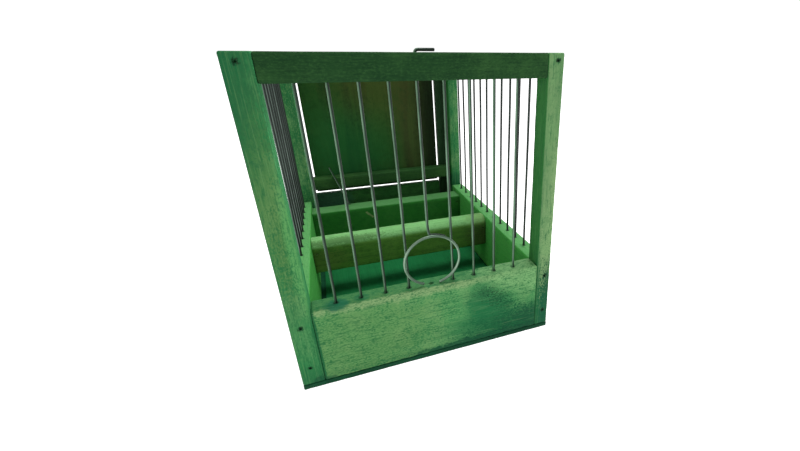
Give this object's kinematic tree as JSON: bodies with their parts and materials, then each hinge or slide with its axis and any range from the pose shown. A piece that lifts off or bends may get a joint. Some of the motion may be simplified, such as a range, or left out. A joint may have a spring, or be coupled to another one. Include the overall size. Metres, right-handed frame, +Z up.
{
  "type": "bird cage",
  "caption": "Small wooden breeding cage with wire bars, a wire drinker ring that lifts, a rear door and a pull-out floor tray.",
  "frame": {"origin": "middle of the base board's underside between the posts' outer faces", "axes": "+X to the right seen from the front, +Y to the rear door, +Z up"},
  "size_m": [0.1534, 0.2051, 0.1718],
  "materials": {
    "green_wood": "green stain rubbed into pale wood, satin, with lighter patches",
    "dark_green_wood": "dark green stain, satin",
    "olive_wood": "olive green stain with a paler top",
    "teal_board": "smooth teal stain",
    "door_wood": "very dark green stain over vertical grain",
    "wire": "plain galvanised wire, dull",
    "nail_steel": "dark bare steel",
    "hinge_brass": "thin brass plating, dull"
  },
  "bodies": {
    "cage": {"base_board": "teal_board", "post_front_left": "green_wood", "post_front_right": "green_wood", "post_back_left": "green_wood", "post_back_right": "green_wood", "front_rail": "green_wood", "side_rail_left": "green_wood", "side_rail_right": "green_wood", "top_front_rail": "dark_green_wood", "top_side_rail_left": "dark_green_wood", "top_side_rail_right": "dark_green_wood", "top_back_rail": "dark_green_wood", "door_batten": "green_wood", "cross_bar_front": "olive_wood", "cross_bar_rear": "dark_green_wood", "front_bars": "wire", "side_bars_left": "wire", "side_bars_right": "wire", "roof_wires": "wire", "wire_prop": "wire", "door_stile": "teal_board", "hinge_plates_fixed": "hinge_brass", "hinge_pins": "hinge_brass", "hinge_nails_fixed": "hinge_brass", "button_block": "green_wood", "button_screw": "hinge_brass", "nails_front": "nail_steel", "nails_back": "nail_steel", "nails_side": "nail_steel", "nails_base": "nail_steel", "nails_cross_bars": "nail_steel", "nails_stile": "nail_steel"},
    "drinker": {"drinker_bar": "wire", "drinker_ring": "wire"},
    "door": {"door_leaf": "door_wood", "hinge_plates_door": "hinge_brass", "hinge_nails_door": "hinge_brass"},
    "button": {"turn_button": "green_wood"},
    "tray": {"tray_sheet": "teal_board", "tray_end_board": "green_wood"}
  },
  "joints": [
    {"name": "ring_lift", "type": "slide", "parent": "cage", "child": "drinker", "axis": [0, 0, 1], "range_m": [0, 0.035]},
    {"name": "door_hinge", "type": "hinge", "parent": "cage", "child": "door", "pos_m": [0.0565, 0.10515, 0.10885], "axis": [0, 0, -1], "range_deg": [0, 110]},
    {"name": "button_turn", "type": "hinge", "parent": "cage", "child": "button", "pos_m": [-0.06915, 0.10495, 0.10885], "axis": [0, 1, 0], "range_deg": [0, 90]},
    {"name": "tray_slide", "type": "slide", "parent": "cage", "child": "tray", "axis": [0, 1, 0], "range_m": [0, 0.15]}
  ]
}
